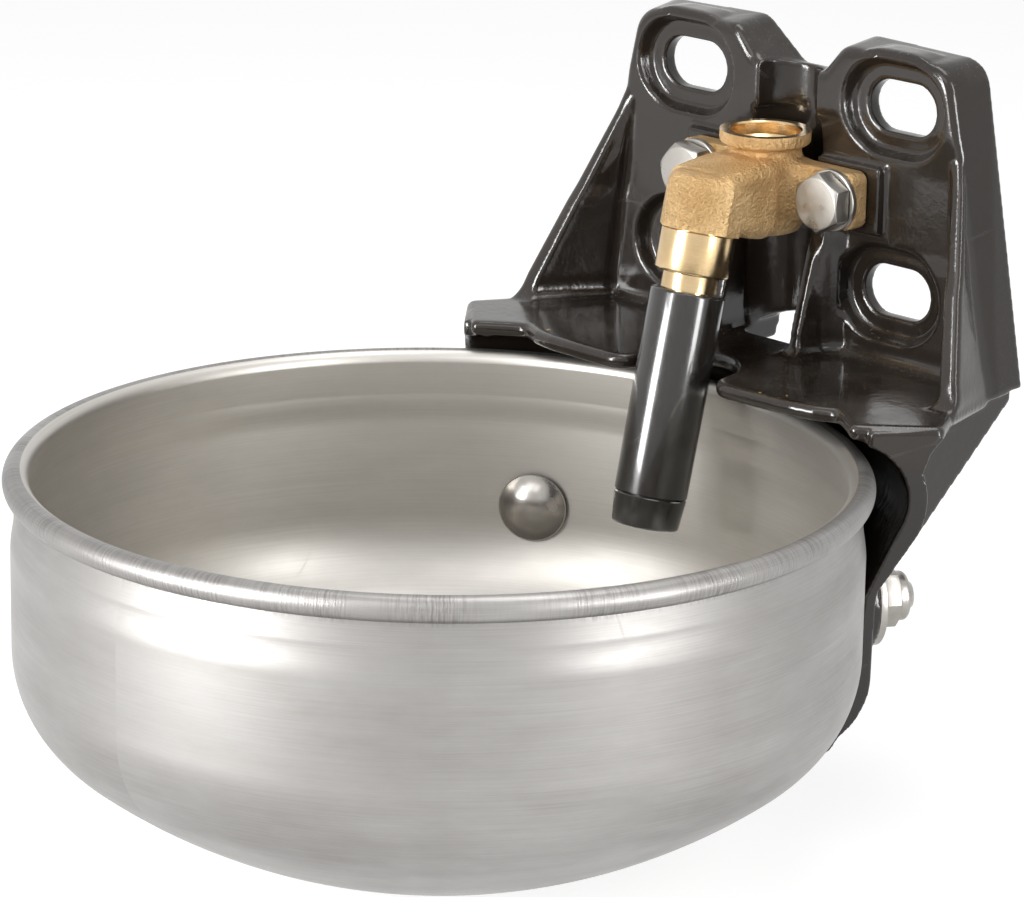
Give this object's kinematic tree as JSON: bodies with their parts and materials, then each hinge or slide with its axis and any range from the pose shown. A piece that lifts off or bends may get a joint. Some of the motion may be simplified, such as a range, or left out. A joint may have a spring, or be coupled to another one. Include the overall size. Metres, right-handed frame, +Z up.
{
  "type": "automatic livestock drinker",
  "caption": "Wall-hung livestock drinker: round steel bowl on an enamelled cast bracket, under a brass valve opened by pushing its hanging tube.",
  "frame": {"origin": "on the wall plane, at the middle of the four mounting slots", "axes": "+Y into the wall, so the bowl and valve stand out to -Y; +Z up; +X to the right seen from the front"},
  "size_m": [0.2638, 0.3029, 0.2371],
  "materials": {
    "bowl_steel": "satin, faintly brushed around",
    "enamelled_iron": "glossy black enamel",
    "fastener_steel": "bright stainless",
    "cast_brass": "fine sand-cast grain",
    "turned_brass": "bright turned",
    "black_plastic": "glossy",
    "seal_rubber": "matt",
    "nylon": "matt, off-white",
    "spring_steel": "drawn wire"
  },
  "bodies": {
    "fixed": {"bowl": "bowl_steel", "bracket": "enamelled_iron", "carriage_bolt_left": "fastener_steel", "carriage_bolt_right": "fastener_steel", "bowl_bolt_seal_left": "seal_rubber", "bowl_bolt_seal_right": "seal_rubber", "bowl_washer_left": "fastener_steel", "bowl_washer_right": "fastener_steel", "lock_nut_left": "fastener_steel", "lock_nut_right": "fastener_steel", "lock_nut_insert_left": "nylon", "lock_nut_insert_right": "nylon", "valve_bolt_left": "fastener_steel", "valve_bolt_right": "fastener_steel", "valve_washer_left": "fastener_steel", "valve_washer_right": "fastener_steel", "valve_nut_left": "fastener_steel", "valve_nut_right": "fastener_steel", "valve_body": "cast_brass", "outlet_ring": "turned_brass"},
    "swivel": {"slip_ring": "turned_brass"},
    "tube": {"tube_collar": "turned_brass", "push_tube": "black_plastic", "tube_tip": "black_plastic"},
    "valve": {"valve_stem": "turned_brass", "valve_disc": "turned_brass", "valve_seal": "seal_rubber", "stem_nut": "turned_brass", "valve_spring": "spring_steel"}
  },
  "joints": [
    {"name": "tube_swivel", "type": "hinge", "parent": "fixed", "child": "swivel", "pos_m": [0, -0.05833, -0.01776], "axis": [0, 0.2292, 0.9734], "continuous": true},
    {"name": "tube_tilt", "type": "hinge", "parent": "swivel", "child": "tube", "pos_m": [0, -0.05833, -0.01776], "axis": [1, 0, 0], "range_deg": [0, 7.5], "stiffness_Nm_per_rad": 1.5, "springref_deg": -6.88},
    {"name": "valve_lift", "type": "slide", "parent": "fixed", "child": "valve", "axis": [0, 0.2292, 0.9734], "range_m": [0, 0.00105], "deforming": ["valve_spring"]}
  ],
  "couplings": [
    {"joint": "valve_lift", "follows": "tube_tilt", "m_per_rad": 0.0079}
  ]
}
